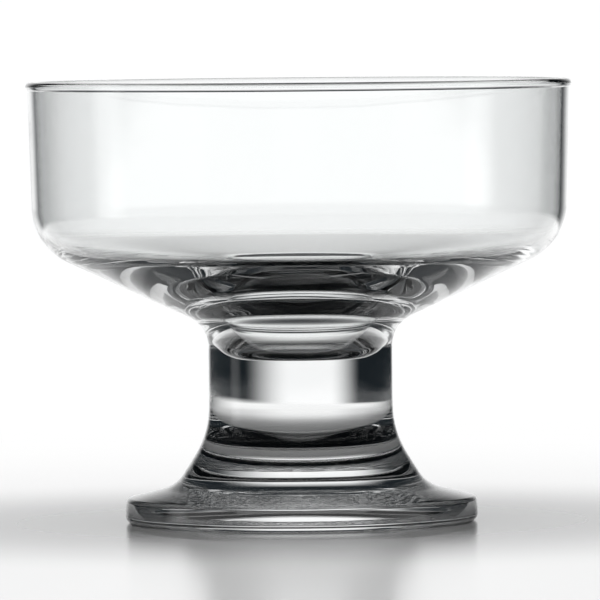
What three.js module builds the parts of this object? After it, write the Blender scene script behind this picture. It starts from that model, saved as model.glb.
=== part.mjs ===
// Sundae dish: a clear pressed-glass bowl on a short solid stem and a flared round foot.
// Millimetres, +Z up. The origin is the centre of the foot's underside plane, on the axis of the glass.
// Three gathers of glass, fused hot, each a body of revolution: foot, stem and bowl.
import * as THREE from 'three';

// Foot: a disc with a rounded edge, a gently sloping top and a shallow dome pressed into its underside
const FOOT_RADIUS = 34.05;
const FOOT_EDGE_HEIGHT = 4.75;
const FOOT_EDGE_INSET = 0.35;
const FOOT_EDGE_BOTTOM_ROUND = 1.5;
const FOOT_EDGE_TOP_ROUND = 0.9;
const FOOT_TOP_ANGLE = 14;
const PUNT_RADIUS = 28;
const PUNT_DEPTH = 2;

// Stem: a solid cylinder that flares out to the foot
const STEM_RADIUS = 17.7;
const STEM_LENGTH = 20.55;
const FLARE_RADIUS = 24.1;
const FLARE_ANGLE = 58;
const FLARE_TOP_ROUND = 18;
const FLARE_FOOT_ROUND = 7;

// Bowl outside: a neck, a shallow cone, a rounded shoulder and a nearly upright wall with a rim bead
const NECK_ROUND = 6.5;
const CONE_ANGLE = 24.8;
const SHOULDER_RADIUS = 51.25;
const SHOULDER_ROUND = 12;
const WALL_HEIGHT = 31.6;
const WALL_DRAFT_ANGLE = 1.6;
const RIM_BEAD_STANDOUT = 0.4;

// Bowl inside: the wall's thickness, a floor flatter than the cone outside, and a well in the stem's head
const WALL = 1.4;
const FLOOR_ANGLE = 15.15;
const FLOOR_ROUND = 9.7;
const WELL_RADIUS = 15.1;
const WELL_MOUTH_ROUND = 4.8;
const WELL_DEPTH = 12.6;
const WELL_BOTTOM_RADIUS = 9.5;
const WELL_BOTTOM_ROUND = 4.2;
const WELL_BASE = 3.4;

// Facets
const SEGMENTS = 48;
const ARC_STEP_ANGLE = 15;
const BEAD_STEP_ANGLE = 30;
const PUNT_RINGS = 5;

const HALF_TURN = 180;
const radians = THREE.MathUtils.degToRad;
const rise = (run, slope) => run * Math.tan(radians(slope));

// Points of a circular arc from one angle to another, in degrees
function arcPoints(centre, radius, from, to, step) {
  const count = Math.max(2, Math.ceil(Math.abs(to - from) / step));
  const points = [];
  for (let i = 0; i <= count; i += 1) {
    const angle = radians(THREE.MathUtils.lerp(from, to, i / count));
    points.push(new THREE.Vector2(centre.x + radius * Math.cos(angle), centre.y + radius * Math.sin(angle)));
  }
  return points;
}

// Fillet at a corner between its neighbours, which takes no more than half of the shorter side
function filletPoints(before, corner, after, round) {
  const toBefore = before.clone().sub(corner);
  const toAfter = after.clone().sub(corner);
  const room = Math.min(toBefore.length(), toAfter.length()) / 2;
  const half = Math.acos(toBefore.clone().normalize().dot(toAfter.clone().normalize())) / 2;
  const radius = Math.min(round, room * Math.tan(half));
  const reach = radius / Math.tan(half);
  const bisector = toBefore.clone().normalize().add(toAfter.clone().normalize()).normalize();
  const centre = corner.clone().addScaledVector(bisector, radius / Math.sin(half));
  const start = corner.clone().addScaledVector(toBefore.normalize(), reach).sub(centre);
  const end = corner.clone().addScaledVector(toAfter.normalize(), reach).sub(centre);
  const from = THREE.MathUtils.radToDeg(start.angle());
  const turn = THREE.MathUtils.radToDeg(end.angle()) - from;
  const sweep = THREE.MathUtils.euclideanModulo(turn + HALF_TURN, 2 * HALF_TURN) - HALF_TURN;
  return arcPoints(centre, radius, from, from + sweep, ARC_STEP_ANGLE);
}

// Outline through [radius, height, round] corners, with an arc wherever a corner has a round
function outline(corners) {
  const at = corners.map(([radius, height]) => new THREE.Vector2(radius, height));
  return corners.flatMap(([, , round], i) => {
    if (!round) return [at[i]];
    return filletPoints(at[i - 1], at[i], at[i + 1], round);
  });
}

// Outline cut at a height: the points below, the point at the cut and the points above
function cutAt(points, height) {
  const i = points.findIndex((point, k) => k > 0 && point.y > height && points[k - 1].y <= height);
  const [low, high] = [points[i - 1], points[i]];
  const seam = low.clone().lerp(high, (height - low.y) / (high.y - low.y));
  seam.y = height;
  return { below: points.slice(0, low.y < height ? i : i - 1), seam, above: points.slice(i) };
}

const onAxis = (height) => new THREE.Vector2(0, height);

// Outside of the whole glass, from the bearing ring up to the wall under the rim
const footEdgeTop = FOOT_RADIUS - FOOT_EDGE_INSET;
const footCrown = FOOT_EDGE_HEIGHT + rise(footEdgeTop - FLARE_RADIUS, FOOT_TOP_ANGLE);
const flareTop = footCrown + rise(FLARE_RADIUS - STEM_RADIUS, FLARE_ANGLE);
const neckHeight = flareTop + STEM_LENGTH;
const shoulderHeight = neckHeight + rise(SHOULDER_RADIUS - STEM_RADIUS, CONE_ANGLE);
const rimHeight = shoulderHeight + WALL_HEIGHT;
const wallRadiusAt = (height) => SHOULDER_RADIUS + rise(height - shoulderHeight, WALL_DRAFT_ANGLE);
const beadRadius = (WALL + RIM_BEAD_STANDOUT) / 2;
const beadHeight = rimHeight - beadRadius;
const beadCentre = new THREE.Vector2(wallRadiusAt(beadHeight) - WALL + beadRadius, beadHeight);
const beadStart = -THREE.MathUtils.radToDeg(Math.acos((beadRadius - RIM_BEAD_STANDOUT) / beadRadius));
const bead = arcPoints(beadCentre, beadRadius, beadStart, HALF_TURN, BEAD_STEP_ANGLE);
const outside = outline([
  [PUNT_RADIUS, 0],
  [FOOT_RADIUS, 0, FOOT_EDGE_BOTTOM_ROUND],
  [footEdgeTop, FOOT_EDGE_HEIGHT, FOOT_EDGE_TOP_ROUND],
  [FLARE_RADIUS, footCrown, FLARE_FOOT_ROUND],
  [STEM_RADIUS, flareTop, FLARE_TOP_ROUND],
  [STEM_RADIUS, neckHeight, NECK_ROUND],
  [SHOULDER_RADIUS, shoulderHeight, SHOULDER_ROUND],
  [bead[0].x, bead[0].y],
]);

// Inside of the bowl, from under the rim down to the bottom of the well
const floorRadius = SHOULDER_RADIUS - WALL;
const wellMouth = shoulderHeight - rise(floorRadius - WELL_RADIUS, FLOOR_ANGLE);
const wellBottom = wellMouth - WELL_DEPTH;
const inside = outline([
  [bead.at(-1).x, bead.at(-1).y],
  [floorRadius, shoulderHeight, FLOOR_ROUND],
  [WELL_RADIUS, wellMouth, WELL_MOUTH_ROUND],
  [WELL_BOTTOM_RADIUS, wellBottom, WELL_BOTTOM_ROUND],
  [0, wellBottom],
]);

// Underside of the foot: a shallow dome from the axis out to the bearing ring
const puntSphere = (PUNT_RADIUS ** 2 + PUNT_DEPTH ** 2) / (2 * PUNT_DEPTH);
const puntSweep = THREE.MathUtils.radToDeg(Math.asin(PUNT_RADIUS / puntSphere));
const puntCentre = onAxis(PUNT_DEPTH - puntSphere);
const axisAngle = HALF_TURN / 2;
const punt = arcPoints(puntCentre, puntSphere, axisAngle, axisAngle - puntSweep, puntSweep / PUNT_RINGS);

// Flat seams where the gathers meet: on the flare's straight run, and in the stem under the well
const footSeam = footCrown + FLARE_FOOT_ROUND * Math.tan(radians((FLARE_ANGLE - FOOT_TOP_ANGLE) / 2))
  * Math.sin(radians(FLARE_ANGLE));
const bowlSeam = wellBottom - WELL_BASE;
const lower = cutAt(outside, footSeam);
const upper = cutAt([lower.seam, ...lower.above], bowlSeam);

const profiles = {
  foot: [...punt.slice(0, -1), ...lower.below, lower.seam, onAxis(footSeam)],
  stem: [onAxis(footSeam), ...upper.below, upper.seam, onAxis(bowlSeam)],
  bowl: [onAxis(bowlSeam), upper.seam, ...upper.above, ...bead.slice(1), ...inside.slice(1)],
};

// Clear, faintly grey-green soda-lime glass
function glass() {
  return new THREE.MeshStandardMaterial({ color: 0xdde5e2, roughness: 0.04, metalness: 0 });
}

// Revolves a profile of radius and height about the upright axis
function revolve(name, profile) {
  const geometry = new THREE.LatheGeometry(profile, SEGMENTS);
  geometry.rotateX(Math.PI / 2);
  const mesh = new THREE.Mesh(geometry, glass());
  mesh.name = name;
  return mesh;
}

const dish = new THREE.Group();
dish.name = 'sundae_dish';
for (const [name, profile] of Object.entries(profiles)) {
  dish.add(revolve(name, profile));
}

export default dish;
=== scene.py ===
"""Sundae dish of clear pressed glass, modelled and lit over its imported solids."""
import logging
import math
from dataclasses import dataclass, field
from enum import Enum
from typing import Any, Iterable, Union

import bpy
from mathutils import Matrix, Vector


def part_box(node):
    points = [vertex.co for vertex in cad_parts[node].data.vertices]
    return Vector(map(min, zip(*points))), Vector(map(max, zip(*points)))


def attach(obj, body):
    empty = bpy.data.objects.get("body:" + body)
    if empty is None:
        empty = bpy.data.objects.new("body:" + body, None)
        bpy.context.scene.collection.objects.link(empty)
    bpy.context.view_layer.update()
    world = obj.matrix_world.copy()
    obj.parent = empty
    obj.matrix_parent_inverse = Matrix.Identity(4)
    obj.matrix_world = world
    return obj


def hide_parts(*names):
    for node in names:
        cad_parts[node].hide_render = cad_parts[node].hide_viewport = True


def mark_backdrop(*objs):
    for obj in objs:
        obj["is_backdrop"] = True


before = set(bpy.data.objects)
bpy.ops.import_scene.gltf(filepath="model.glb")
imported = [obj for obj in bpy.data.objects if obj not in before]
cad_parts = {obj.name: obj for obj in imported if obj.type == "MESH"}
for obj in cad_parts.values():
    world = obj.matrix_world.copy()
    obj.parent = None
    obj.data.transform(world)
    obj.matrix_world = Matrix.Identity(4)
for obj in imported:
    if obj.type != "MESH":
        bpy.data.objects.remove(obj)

log = logging.getLogger("sundae_dish")
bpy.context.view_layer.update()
MM = 0.001
DEGREES = math.degrees(1.0)
WHITE = (1.0, 1.0, 1.0)
BLACK = (0.0, 0.0, 0.0)
GLASS_INDEX = 1.52

# Steps of a turned section: runs in millimetres, angles in radians
TURN_STEPS = 192
ARC_STEP = math.radians(3.0)
LEAST_ARC_STEPS = 2
RUN_STEP = 1.6
RUN_SLACK = 1e-6
SHORTEST_RUN = 1e-5
SHARP_ANGLE = math.radians(35.0)

# Points closer than this are one, in metres
MERGE_DISTANCE = 1e-6

# How near a face is to a seam's height, in millimetres, and how level it is
SEAM_TOLERANCE = 0.01
LEVEL_NORMAL = 0.99

# Places of the colours and of the result on a Mix node
MIX_COLOURS = (6, 7)
MIX_RESULT = 2

# Where azimuths jump, and edges of a screen that are out of reach past the jump or below, in degrees
HALF_TURN = 180.0
PAST_JUMP = (1.0, 2.0)
BOTTOMLESS = (-91.0, -90.0)

Point = Union[tuple[float, float], Vector]
Span = tuple[float, float]
Triple = tuple[float, float, float]
Value = Union["Sock", float, tuple]


class Face(Enum):
    """Material slots of a piece of glass."""

    SKIN = 0
    SEAM = 1


class Sock:
    """A shader value that takes part in Python expressions."""

    def __init__(self, graph: "Graph", socket: bpy.types.NodeSocket | None) -> None:
        """Wraps an output socket of a graph's node."""
        self.graph = graph
        self.socket = socket

    def math(self, operation: str, *others: Value, first: Value | None = None) -> "Sock":
        """Adds a Math node.

        Args:
            operation: The Math node's operation.
            others: The values after the first one.
            first: The first value, if it isn't this one.

        Returns:
            The node's result.
        """
        values = [self if first is None else first, *others]
        return self.graph.add("ShaderNodeMath", {"operation": operation}, dict(enumerate(values)))

    def __add__(self, other: Value) -> "Sock":
        """Sum."""
        return self.math("ADD", other)

    def __sub__(self, other: Value) -> "Sock":
        """Difference."""
        return self.math("SUBTRACT", other)

    def __rsub__(self, other: Value) -> "Sock":
        """Difference from a plain number."""
        return self.math("SUBTRACT", self, first=other)

    def __mul__(self, other: Value) -> "Sock":
        """Product."""
        return self.math("MULTIPLY", other)

    def __neg__(self) -> "Sock":
        """Negative."""
        return self.math("MULTIPLY", -1.0)

    __radd__ = __add__
    __rmul__ = __mul__

    def step(self, low: float, high: float) -> "Sock":
        """Smooth step from 0 at one value to 1 at another.

        Args:
            low: The value that gives 0.
            high: The value that gives 1.

        Returns:
            The eased share between them.
        """
        limits = {"Value": self, "From Min": low, "From Max": high}
        return self.graph.add("ShaderNodeMapRange", {"interpolation_type": "SMOOTHSTEP"}, limits)


class Graph:
    """A node tree that is written as expressions."""

    def __init__(self, tree: bpy.types.NodeTree) -> None:
        """Empties a node tree and keeps it."""
        self.tree = tree
        tree.nodes.clear()

    def add(self, kind: str, settings: dict[str, Any], inputs: dict[Any, Value],
            out: Any = 0) -> Sock:
        """Adds a node.

        Args:
            kind: The node's type.
            settings: Its own properties, set first.
            inputs: Values or links of its sockets, by name or place.
            out: The output that is returned, by name or place.

        Returns:
            That output, which is empty for a node that has none.
        """
        node = self.tree.nodes.new(kind)
        for key, value in settings.items():
            setattr(node, key, value)
        for key, value in inputs.items():
            if isinstance(value, Sock):
                self.tree.links.new(value.socket, node.inputs[key])
            else:
                node.inputs[key].default_value = value
        return Sock(self, node.outputs[out]) if len(node.outputs) else Sock(self, None)

    def place(self) -> Sock:
        """Object coordinates of the shaded point."""
        return self.add("ShaderNodeTexCoord", {}, {}, "Object")

    def parts(self, vector: Sock) -> tuple[Sock, Sock, Sock]:
        """Splits a vector.

        Args:
            vector: The vector.

        Returns:
            Its X, Y and Z.
        """
        first = self.add("ShaderNodeSeparateXYZ", {}, {0: vector})
        return tuple(Sock(self, socket) for socket in first.socket.node.outputs)

    def noise(self, where: Sock, scale: float, detail: float) -> Sock:
        """Soft noise.

        Args:
            where: Coordinates.
            scale: Waves per metre.
            detail: Octaves.

        Returns:
            The noise, from 0 to 1.
        """
        inputs = {"Vector": where, "Scale": scale, "Detail": detail}
        return self.add("ShaderNodeTexNoise", {}, inputs, "Fac")

    def shown(self) -> Sock:
        """One for rays from the eye, from gloss and through glass, and zero for the rest.

        Returns:
            The mask.
        """
        rays = [self.add("ShaderNodeLightPath", {}, {}, f"Is {ray} Ray")
                for ray in ("Camera", "Glossy", "Transmission")]
        return sum(rays, start=0.0).math("MINIMUM", 1.0)

    def blend(self, share: Value, low: Triple, high: Triple) -> Sock:
        """Mixes two colours.

        Args:
            share: How much of the second colour.
            low: The first colour.
            high: The second colour.

        Returns:
            The mixed colour.
        """
        first, second = MIX_COLOURS
        inputs = {"Factor": share, first: (*low, 1.0), second: (*high, 1.0)}
        return self.add("ShaderNodeMix", {"data_type": "RGBA"}, inputs, MIX_RESULT)


@dataclass(frozen=True)
class ClearGlass:
    """Fire-polished soda-lime glass with the faint waves of a pressed surface.

    Heights and radii are in metres, scales in waves per metre. The waves lose a share, the calm,
    above the heights of wave_top. A ring, if there is one, is stippled between its two radii.
    """

    name: str
    pale: Triple = (0.992, 0.998, 0.996)
    deep: Triple = (0.978, 0.990, 0.988)
    index: float = GLASS_INDEX
    wave_scale: float = 42.0
    wave_height: float = 1.1e-4
    wave_top: Span = (0.052, 0.062)
    calm: float = 0.75
    chill_scale: float = 210.0
    chill_height: float = 2.5e-6
    surface_detail: float = 1.0
    polish: float = 0.004
    smear: float = 0.014
    smear_scale: float = 60.0
    smear_detail: float = 3.0
    smear_edge: Span = (0.52, 0.74)
    ring: Span | None = None
    ring_feather: Span = (0.0006, 0.0004)
    ring_top: Span = (0.0022, 0.0026)
    stipple_scale: float = 950.0
    stipple_height: float = 2.2e-4
    scuff: float = 0.16

    def material(self) -> bpy.types.Material:
        """Makes the glass.

        Returns:
            The material.
        """
        made = bpy.data.materials.new(self.name)
        made.use_nodes = True
        graph = Graph(made.node_tree)
        where = graph.place()
        wave = graph.noise(where, self.wave_scale, self.surface_detail)
        chill = graph.noise(where, self.chill_scale, self.surface_detail)
        smear = graph.noise(where, self.smear_scale, self.smear_detail).step(*self.smear_edge)
        liveliness = 1 - self.calm * graph.parts(where)[2].step(*self.wave_top)
        height = wave * liveliness * self.wave_height + chill * self.chill_height
        roughness = smear * self.smear + self.polish
        if self.ring is not None:
            mask = self._ring_mask(graph, where)
            cells = {"Vector": where, "Scale": self.stipple_scale}
            pits = graph.add("ShaderNodeTexVoronoi", {"feature": "F1"}, cells, "Distance")
            height = height + mask * pits * self.stipple_height
            roughness = roughness + mask * self.scuff
        relief = {"Height": height, "Strength": 1.0, "Distance": 1.0}
        bump = graph.add("ShaderNodeBump", {}, relief)
        shader = graph.add("ShaderNodeBsdfPrincipled", {}, {
            "Base Color": graph.blend(wave, self.pale, self.deep),
            "Roughness": roughness,
            "IOR": self.index,
            "Transmission Weight": 1.0,
            "Normal": bump,
        })
        graph.add("ShaderNodeOutputMaterial", {}, {"Surface": shader})
        return made

    def _ring_mask(self, graph: Graph, where: Sock) -> Sock:
        """Marks the stippled ring under the foot.

        Args:
            graph: The material's graph.
            where: Object coordinates.

        Returns:
            1 on the ring and 0 elsewhere.
        """
        inner, outer = self.ring
        beyond, within = self.ring_feather
        across, along, up = graph.parts(where)
        radius = (across * across + along * along).math("SQRT")
        inside = radius.step(inner - beyond, inner + within)
        outside = 1 - radius.step(outer - within, outer + beyond)
        return inside * outside * (1 - up.step(*self.ring_top))


@dataclass(frozen=True)
class FusedSeam:
    """The face where two gathers are fused: the glass runs on through it, so nothing shows."""

    name: str
    tint: Triple = (0.985, 0.992, 0.989)
    index: float = GLASS_INDEX
    alpha: float = 0.0

    def material(self) -> bpy.types.Material:
        """Makes the unseen seam.

        Returns:
            The material.
        """
        made = bpy.data.materials.new(self.name)
        made.use_nodes = True
        graph = Graph(made.node_tree)
        shader = graph.add("ShaderNodeBsdfPrincipled", {}, {
            "Base Color": (*self.tint, 1.0),
            "IOR": self.index,
            "Transmission Weight": 1.0,
            "Alpha": self.alpha,
        })
        graph.add("ShaderNodeOutputMaterial", {}, {"Surface": shader})
        return made


@dataclass(frozen=True)
class SatinBoard:
    """The pale satin board that the dish stands on, with painted shadow, dark and matt, hidden under
    the foot.

    The board's colour is darker near the dish, a painted shadow pool, and a little darker further
    out at the sides, painted shade. A painted white glow, seen only by rays from the eye, from gloss
    and through glass, lies on it behind the dish like a lit sweep, and its own edge fades away.
    Lengths are in metres, and bearings in degrees from straight behind the dish.
    """

    name: str = "satin_board"
    # Painted shadow: the board's dark colour under the foot
    painted_foot_shadow: float = 0.04
    # Painted shadow pool: the board's colour next to the dish, brightening out to far across reach
    near: float = 0.38
    far: float = 0.92
    # Painted shade: the board's colour out at the sides, darker than behind the dish
    aside: float = 0.76
    # Bearings where the painted side shade comes in and the painted glow behind the dish goes out
    bearing: Span = (25.0, 70.0)
    outskirts: Span = (0.18, 0.44)
    # Painted light: strength of the white glow on the board behind the dish
    sweep: float = 1.0
    painted_glow_reach: Span = (0.06, 0.30)
    # Radii over which the painted shadow pool around the dish fades out
    reach: Span = (0.05, 0.14)
    matt: float = 0.85
    satin: float = 0.19
    foot_edge: Span = (0.0290, 0.0335)
    index: float = 1.7
    foot: Triple = (0.0, 0.0, 0.0)
    centre: Triple = (0.10, -0.10, 0.0)
    fade: Span = (0.44, 0.56)

    def material(self) -> bpy.types.Material:
        """Makes the board's finish.

        Returns:
            The material.
        """
        made = bpy.data.materials.new(self.name)
        made.use_nodes = True
        graph = Graph(made.node_tree)
        where = graph.place()
        radius = self._distance(graph, where, self.foot)
        across, along, _ = graph.parts(where)
        clear = radius.step(*self.foot_edge)
        bearing = across.math("ABSOLUTE").math("ARCTAN2", along) * DEGREES
        turned = bearing.step(*self.bearing)
        # Painted shade: the board's colour is darker out at the sides than behind the dish
        painted_side_shade = turned * radius.step(*self.outskirts)
        far = painted_side_shade * (self.aside - self.far) + self.far
        # Painted shadow pool: the board's colour darkens towards the dish
        painted_pool_shade = radius.step(*self.reach) * (far - self.near) + self.near
        # Painted shadow under the foot: the board's colour is dark inside the foot's edge
        shade = clear * painted_pool_shade + (1 - clear) * self.painted_foot_shadow
        satin = graph.add("ShaderNodeBsdfPrincipled", {}, {
            "Base Color": graph.blend(shade, BLACK, WHITE),
            "Roughness": clear * (self.satin - self.matt) + self.matt,
            "IOR": self.index,
        })
        # Painted light: a white glow on the board behind the dish, seen by rays from the eye, from
        # gloss and through glass
        glow = {"Color": (*WHITE, 1.0), "Strength": self.sweep}
        white = graph.add("ShaderNodeEmission", {}, glow)
        painted_glow_mask = (1 - turned) * radius.step(*self.painted_glow_reach) * graph.shown()
        board = graph.add("ShaderNodeMixShader", {}, {0: painted_glow_mask, 1: satin, 2: white})
        beyond = graph.add("ShaderNodeBsdfTransparent", {}, {})
        edge = self._distance(graph, where, self.centre).step(*self.fade)
        shader = graph.add("ShaderNodeMixShader", {}, {0: edge, 1: board, 2: beyond})
        graph.add("ShaderNodeOutputMaterial", {}, {"Surface": shader})
        return made

    @staticmethod
    def _distance(graph: Graph, where: Sock, centre: Triple) -> Sock:
        """Distance from a point.

        Args:
            graph: The material's graph.
            where: Object coordinates.
            centre: The point.

        Returns:
            The distance.
        """
        inputs = {0: where, 1: centre}
        return graph.add("ShaderNodeVectorMath", {"operation": "DISTANCE"}, inputs, "Value")


@dataclass(frozen=True)
class Corner:
    """A corner of a half section, in millimetres, with the radius that rounds it."""

    radius: float
    height: float
    round: float = 0.0

    @property
    def point(self) -> Vector:
        """The corner as a vector of radius and height."""
        return Vector((self.radius, self.height))


class Pen:
    """Draws a half section in edit mode and turns it about the axis, as on a lathe."""

    def __init__(self, name: str, start: Point) -> None:
        """Puts the first point down.

        Args:
            name: The piece's name.
            start: Radius and height of the first point.
        """
        bpy.ops.object.select_all(action="DESELECT")
        bpy.ops.mesh.primitive_plane_add(size=MM)
        self.piece = bpy.context.object
        self.piece.name = name
        self.piece.data.name = name
        self.at = Vector(start)
        bpy.ops.object.mode_set(mode="EDIT")
        bpy.ops.mesh.select_all(action="SELECT")
        bpy.ops.mesh.merge(type="CENTER")
        bpy.ops.transform.translate(value=(self.at.x * MM, 0.0, self.at.y * MM))

    def line(self, end: Point) -> None:
        """Draws a straight run in short steps.

        Args:
            end: Radius and height of the run's end.
        """
        run = Vector(end) - self.at
        if run.length < SHORTEST_RUN:
            return
        steps = max(1, math.ceil(run.length / RUN_STEP - RUN_SLACK))
        move = (run.x / steps * MM, 0.0, run.y / steps * MM)
        for _ in range(steps):
            bpy.ops.mesh.extrude_region_move(TRANSFORM_OT_translate={"value": move})
        self.at = Vector(end)

    def arc(self, centre: Point, sweep: float) -> None:
        """Draws an arc from the pen's place.

        Args:
            centre: Radius and height of the arc's centre.
            sweep: Angle in radians, from the radius axis towards the height axis.
        """
        middle = Vector(centre)
        steps = max(LEAST_ARC_STEPS, math.ceil(abs(sweep) / ARC_STEP))
        bpy.ops.mesh.spin(steps=steps, angle=sweep, axis=(0.0, 1.0, 0.0),
                          center=(middle.x * MM, 0.0, middle.y * MM))
        arm = self.at - middle
        turned = Matrix.Rotation(sweep, 2) @ arm
        self.at = middle + turned

    def follow(self, corners: list[Corner], stop: Point | None = None) -> None:
        """Draws the runs and rounds of a row of corners.

        Args:
            corners: The row, whose first run holds the pen's place.
            stop: Where the last run stops, if that is before its corner.
        """
        for before, corner, after in zip(corners, corners[1:], corners[2:]):
            self._round(before.point, corner, after.point)
        self.line(corners[-1].point if stop is None else stop)

    def _round(self, before: Vector, corner: Corner, after: Vector) -> None:
        """Draws the run to a corner and the round on it.

        Args:
            before: The corner before it.
            corner: The corner.
            after: The corner after it.
        """
        back, on = before - corner.point, after - corner.point
        room = min(back.length, on.length) / 2
        half = back.angle(on) / 2
        radius = min(corner.round, room * math.tan(half))
        if radius <= 0.0:
            self.line(corner.point)
            return
        start = corner.point + back.normalized() * (radius / math.tan(half))
        bisector = (back.normalized() + on.normalized()).normalized()
        middle = corner.point + bisector * (radius / math.sin(half))
        turn = math.pi - 2 * half
        left = back.x * on.y - back.y * on.x < 0.0
        self.line(start)
        self.arc(middle, turn if left else -turn)

    def turn(self) -> bpy.types.Object:
        """Turns the section about the axis into a closed piece.

        Returns:
            The piece, with smooth rounds and crisp edges.
        """
        bpy.ops.mesh.select_all(action="SELECT")
        bpy.ops.mesh.spin(steps=TURN_STEPS, angle=2 * math.pi, axis=(0.0, 0.0, 1.0),
                          center=(0.0, 0.0, 0.0))
        bpy.ops.mesh.select_all(action="SELECT")
        bpy.ops.mesh.remove_doubles(threshold=MERGE_DISTANCE)
        bpy.ops.mesh.normals_make_consistent(inside=False)
        bpy.ops.object.mode_set(mode="OBJECT")
        bpy.ops.object.shade_smooth_by_angle(angle=SHARP_ANGLE)
        return self.piece


def rise(run: float, angle: float) -> float:
    """Height that a slope gains.

    Args:
        run: Level length.
        angle: Slope in degrees.

    Returns:
        The height.
    """
    return run * math.tan(math.radians(angle))


def dress(piece: bpy.types.Object, node: str, skin: ClearGlass,
          seams: Iterable[float]) -> bpy.types.Object:
    """Gives a piece its glass and its fused seams, and hangs it on the frame.

    Args:
        piece: The piece.
        node: The solid that it stands for.
        skin: Its glass.
        seams: Heights of its fused faces, in millimetres.

    Returns:
        The piece.
    """
    piece.data.materials.append(skin.material())
    piece.data.materials.append(FusedSeam(f"{node}_seam").material())
    for face in piece.data.polygons:
        near = any(abs(face.center.z - height * MM) < SEAM_TOLERANCE * MM for height in seams)
        level = abs(face.normal.z) > LEVEL_NORMAL
        face.material_index = (Face.SEAM if near and level else Face.SKIN).value
    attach(piece, "root")
    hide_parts(node)
    log.info("%s: %d faces in %s", piece.name, len(piece.data.polygons), skin.name)
    return piece


@dataclass
class Foot:
    """The disc that the dish stands on: rounded edge, sloping top, shallow dome under it.

    Lengths are in millimetres, angles in degrees. The stipple starts a band's width inside the
    dome's edge and stops a margin short of the foot's own edge.
    """

    radius: float = 34.05
    edge_height: float = 4.75
    edge_inset: float = 0.35
    bottom_round: float = 1.5
    top_round: float = 0.9
    top_angle: float = 14.0
    flare_radius: float = 24.1
    flare_angle: float = 58.0
    flare_round: float = 7.0
    stem_radius: float = 17.7
    dome_radius: float = 28.0
    dome_depth: float = 2.0
    stipple_band: float = 9.0
    stipple_margin: float = 2.4

    @property
    def crown(self) -> float:
        """Height where the top would meet the flare."""
        run = self.radius - self.edge_inset - self.flare_radius
        return self.edge_height + rise(run, self.top_angle)

    @property
    def flare_top(self) -> float:
        """Height where the flare would meet the upright stem."""
        return self.crown + rise(self.flare_radius - self.stem_radius, self.flare_angle)

    @property
    def seam(self) -> Point:
        """Finds the seam with the stem, where the flare's round ends.

        Returns:
            Its radius and height.
        """
        reach = self.flare_round * math.tan(math.radians(self.flare_angle - self.top_angle) / 2)
        slope = math.radians(self.flare_angle)
        return self.flare_radius - reach * math.cos(slope), self.crown + reach * math.sin(slope)

    def build(self) -> bpy.types.Object:
        """Turns the foot.

        Returns:
            The piece.
        """
        ball = (self.dome_radius ** 2 + self.dome_depth ** 2) / (2 * self.dome_depth)
        pen = Pen("dish_foot", (0.0, self.dome_depth))
        pen.arc((0.0, self.dome_depth - ball), -math.asin(self.dome_radius / ball))
        pen.follow([
            Corner(self.dome_radius, 0.0),
            Corner(self.radius, 0.0, self.bottom_round),
            Corner(self.radius - self.edge_inset, self.edge_height, self.top_round),
            Corner(self.flare_radius, self.crown, self.flare_round),
            Corner(self.stem_radius, self.flare_top),
        ], self.seam)
        pen.line((0.0, self.seam[1]))
        return pen.turn()

    def dress(self, piece: bpy.types.Object) -> bpy.types.Object:
        """Gives the foot its glass, stippled under the outer dome and most of the bearing ring.

        Args:
            piece: The turned foot.

        Returns:
            The piece.
        """
        inner = (self.dome_radius - self.stipple_band) * MM
        outer = (self.radius - self.stipple_margin) * MM
        glass = ClearGlass("foot_pressed_glass", ring=(inner, outer))
        return dress(piece, "foot", glass, [self.seam[1]])


@dataclass
class Stem:
    """The solid stem and its flare, up to the seam with the bowl. Millimetres."""

    foot: Foot
    seam: float
    flare_round: float = 18.0
    length: float = 20.55

    @property
    def radius(self) -> float:
        """Radius of the upright stem."""
        return self.foot.stem_radius

    @property
    def head(self) -> float:
        """Height where the stem would meet the bowl's cone."""
        return self.foot.flare_top + self.length

    def build(self) -> bpy.types.Object:
        """Turns the stem.

        Returns:
            The piece.
        """
        pen = Pen("dish_stem", (0.0, self.foot.seam[1]))
        pen.line(self.foot.seam)
        pen.follow([
            Corner(self.foot.flare_radius, self.foot.crown),
            Corner(self.radius, self.foot.flare_top, self.flare_round),
            Corner(self.radius, self.head),
        ], (self.radius, self.seam))
        pen.line((0.0, self.seam))
        return pen.turn()

    def dress(self, piece: bpy.types.Object) -> bpy.types.Object:
        """Gives the stem its glass."""
        seams = [self.foot.seam[1], self.seam]
        return dress(piece, "stem", ClearGlass("stem_pressed_glass"), seams)


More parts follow.
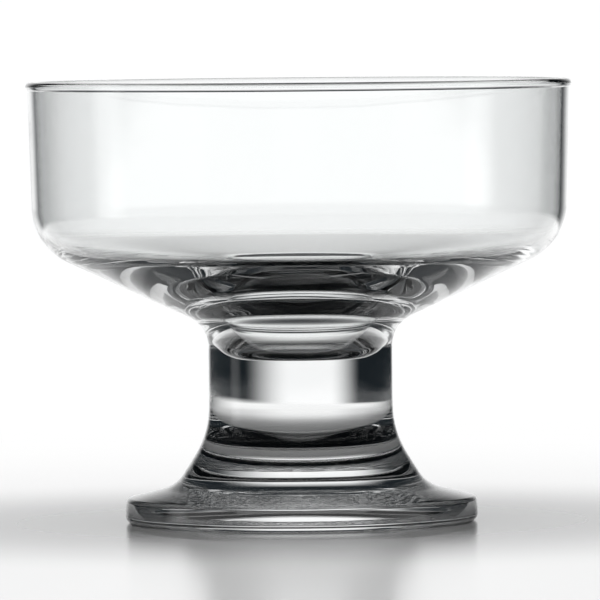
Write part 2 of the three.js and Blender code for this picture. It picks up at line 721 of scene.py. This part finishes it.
@dataclass
class Bowl:
    """The open bowl: neck, cone, shoulder, wall and rim bead, with a sloping floor and a well.

    Lengths are in millimetres, angles in degrees.
    """

    stem: Stem
    neck_round: float = 6.5
    cone_angle: float = 24.8
    shoulder_radius: float = 51.25
    shoulder_round: float = 12.0
    wall_height: float = 31.6
    wall_draft: float = 1.6
    wall: float = 1.4
    bead_standout: float = 0.4
    floor_angle: float = 15.15
    floor_round: float = 9.7
    well_radius: float = 15.1
    well_mouth_round: float = 4.8
    well_depth: float = 12.6
    well_bottom_radius: float = 9.5
    well_bottom_round: float = 4.2

    @property
    def shoulder(self) -> float:
        """Height where the cone would meet the wall."""
        return self.stem.head + rise(self.shoulder_radius - self.stem.radius, self.cone_angle)

    def build(self) -> bpy.types.Object:
        """Turns the bowl.

        Returns:
            The piece.
        """
        bead = (self.wall + self.bead_standout) / 2
        bead_height = self.shoulder + self.wall_height - bead
        wall_top = self.shoulder_radius + rise(bead_height - self.shoulder, self.wall_draft)
        bead_centre = Vector((wall_top - self.wall + bead, bead_height))
        under = math.acos((bead - self.bead_standout) / bead)
        floor_radius = self.shoulder_radius - self.wall
        mouth = self.shoulder - rise(floor_radius - self.well_radius, self.floor_angle)
        bottom = mouth - self.well_depth
        pen = Pen("dish_bowl", (0.0, self.stem.seam))
        pen.line((self.stem.radius, self.stem.seam))
        pen.follow([
            Corner(self.stem.radius, self.stem.foot.flare_top),
            Corner(self.stem.radius, self.stem.head, self.neck_round),
            Corner(self.shoulder_radius, self.shoulder, self.shoulder_round),
            Corner(bead_centre.x + bead * math.cos(under), bead_centre.y - bead * math.sin(under)),
        ])
        pen.arc(bead_centre, math.pi + under)
        pen.follow([
            Corner(bead_centre.x - bead, bead_centre.y),
            Corner(floor_radius, self.shoulder, self.floor_round),
            Corner(self.well_radius, mouth, self.well_mouth_round),
            Corner(self.well_bottom_radius, bottom, self.well_bottom_round),
            Corner(0.0, bottom),
        ])
        return pen.turn()

    def dress(self, piece: bpy.types.Object) -> bpy.types.Object:
        """Gives the bowl its glass."""
        return dress(piece, "bowl", ClearGlass("bowl_pressed_glass"), [self.stem.seam])


@dataclass(frozen=True)
class SoftBox:
    """A soft white screen around the horizon.

    Angles are in degrees, and azimuths run from +Y towards +X. Each edge fades between two angles:
    left and right from the azimuth, top and bottom from the horizon.
    """

    azimuth: float
    left: Span
    right: Span
    top: Span
    bottom: Span = BOTTOMLESS
    brightness: float = 1.0

    @classmethod
    def in_front(cls, side: Span, top: Span, bottom: Span) -> list["SoftBox"]:
        """Makes a screen in front of the dish, in two halves because azimuths jump there.

        Args:
            side: Where both sides fade, from straight in front.
            top: Where the top fades.
            bottom: Where the bottom fades.

        Returns:
            The two halves.
        """
        return [
            cls(azimuth=HALF_TURN, left=side, right=PAST_JUMP, top=top, bottom=bottom),
            cls(azimuth=-HALF_TURN, left=PAST_JUMP, right=side, top=top, bottom=bottom),
        ]

    def glow(self, azimuth: Sock, elevation: Sock) -> Sock:
        """Brightness of the screen in a direction.

        Args:
            azimuth: The direction's azimuth, in degrees.
            elevation: Its elevation, in degrees.

        Returns:
            The brightness.
        """
        aside = azimuth - self.azimuth
        across = (1 - aside.step(*self.right)) * (1 - (-aside).step(*self.left))
        upright = elevation.step(*self.bottom) * (1 - elevation.step(*self.top))
        return across * upright * self.brightness


@dataclass
class Studio:
    """Board, soft screens and camera.

    Lengths are in metres, the roll in degrees, the lens and its sensor in millimetres. The gap
    between the two front screens lies where the upright stem would reflect them.
    """

    board_radius: float = 0.80
    board_sides: int = 96
    overhead: float = 1.0
    narrowness: float = 3.0
    gloom: Triple = (0.0105, 0.0140, 0.0170)
    screens: list[SoftBox] = field(default_factory=lambda: [
        SoftBox(azimuth=0.0, left=(12.0, 30.0), right=(4.0, 28.0), top=(5.0, 24.0)),
        SoftBox(azimuth=-90.0, left=(2.4, 12.0), right=(2.4, 12.0), top=(4.0, 16.0)),
        *SoftBox.in_front(side=(80.0, 100.0), top=(5.0, 14.0), bottom=(-1.2, 0.4)),
        *SoftBox.in_front(side=(80.0, 100.0), top=(-3.6, -3.1), bottom=(-12.0, -9.0)),
    ])
    eye: Triple = (0.0, -1.590, 0.101)
    target: Triple = (0.0, 0.0, 0.0427)
    roll: float = -0.5
    lens: float = 496.0
    sensor: float = 36.0
    sight: float = 200.0
    bounces: int = 48

    def build(self) -> None:
        """Sets the board, the light and the camera."""
        self.lay_board()
        self.light()
        self.aim()
        self.trace()

    def lay_board(self) -> bpy.types.Object:
        """Lays the board under the dish.

        Returns:
            The board.
        """
        bpy.ops.object.select_all(action="DESELECT")
        bpy.ops.mesh.primitive_circle_add(vertices=self.board_sides, radius=self.board_radius,
                                          fill_type="NGON")
        board = bpy.context.object
        board.name = "board"
        board.data.materials.append(SatinBoard().material())
        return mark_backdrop(board)

    def light(self) -> None:
        """Sets the screens that the eye and the glass see, and the dome that lights the board."""
        world = bpy.data.worlds.new("studio")
        bpy.context.scene.world = world
        world.use_nodes = True
        world.cycles.sampling_method = "NONE"
        graph = Graph(world.node_tree)
        direction = graph.add("ShaderNodeTexCoord", {}, {}, "Generated")
        across, along, up = graph.parts(direction)
        azimuth = across.math("ARCTAN2", along) * DEGREES
        elevation = up.math("ARCSINE") * DEGREES
        seen = sum((screen.glow(azimuth, elevation) for screen in self.screens), start=0.0)
        shown = graph.shown()
        # A narrow dome is brighter on top, so that a level board gets the same light from it
        level = self.overhead * (self.narrowness + 2) / 2
        soft = up.math("MAXIMUM", 0.0).math("POWER", self.narrowness) * level
        strength = shown * seen + (1 - shown) * soft
        lit = {"Color": (*WHITE, 1.0), "Strength": strength}
        unlit = {"Color": (*self.gloom, 1.0), "Strength": shown}
        light = graph.add("ShaderNodeBackground", {}, lit)
        around = graph.add("ShaderNodeBackground", {}, unlit)
        both = graph.add("ShaderNodeAddShader", {}, {0: light, 1: around})
        graph.add("ShaderNodeOutputWorld", {}, {"Surface": both})

    def aim(self) -> bpy.types.Object:
        """Puts the camera at the photograph's angle.

        Returns:
            The camera.
        """
        data = bpy.data.cameras.new("eye")
        data.lens = self.lens
        data.sensor_width = self.sensor
        data.clip_end = self.sight
        camera = bpy.data.objects.new("eye", data)
        bpy.context.scene.collection.objects.link(camera)
        look = Vector(self.target) - Vector(self.eye)
        turn = look.to_track_quat("-Z", "Y").to_matrix().to_4x4()
        roll = Matrix.Rotation(math.radians(self.roll), 4, "Z")
        camera.matrix_world = Matrix.Translation(self.eye) @ turn @ roll
        bpy.context.scene.camera = camera
        return camera

    def trace(self) -> None:
        """Lets light pass often enough through solid glass, and keeps its shadow on the board."""
        scene = bpy.context.scene
        scene.view_settings.view_transform = "Standard"
        scene.cycles.max_bounces = self.bounces
        scene.cycles.glossy_bounces = self.bounces
        scene.cycles.transmission_bounces = self.bounces
        scene.cycles.transparent_max_bounces = self.bounces
        scene.cycles.caustics_reflective = False
        scene.cycles.caustics_refractive = False


def main() -> None:
    """Builds the dish and the studio."""
    logging.basicConfig(level=logging.INFO, format="%(name)s: %(message)s")
    foot = Foot()
    stem = Stem(foot, seam=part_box("stem")[1].z / MM)
    bowl = Bowl(stem)
    for part in (foot, stem, bowl):
        part.dress(part.build())
    Studio().build()


if __name__ == "__main__":
    main()
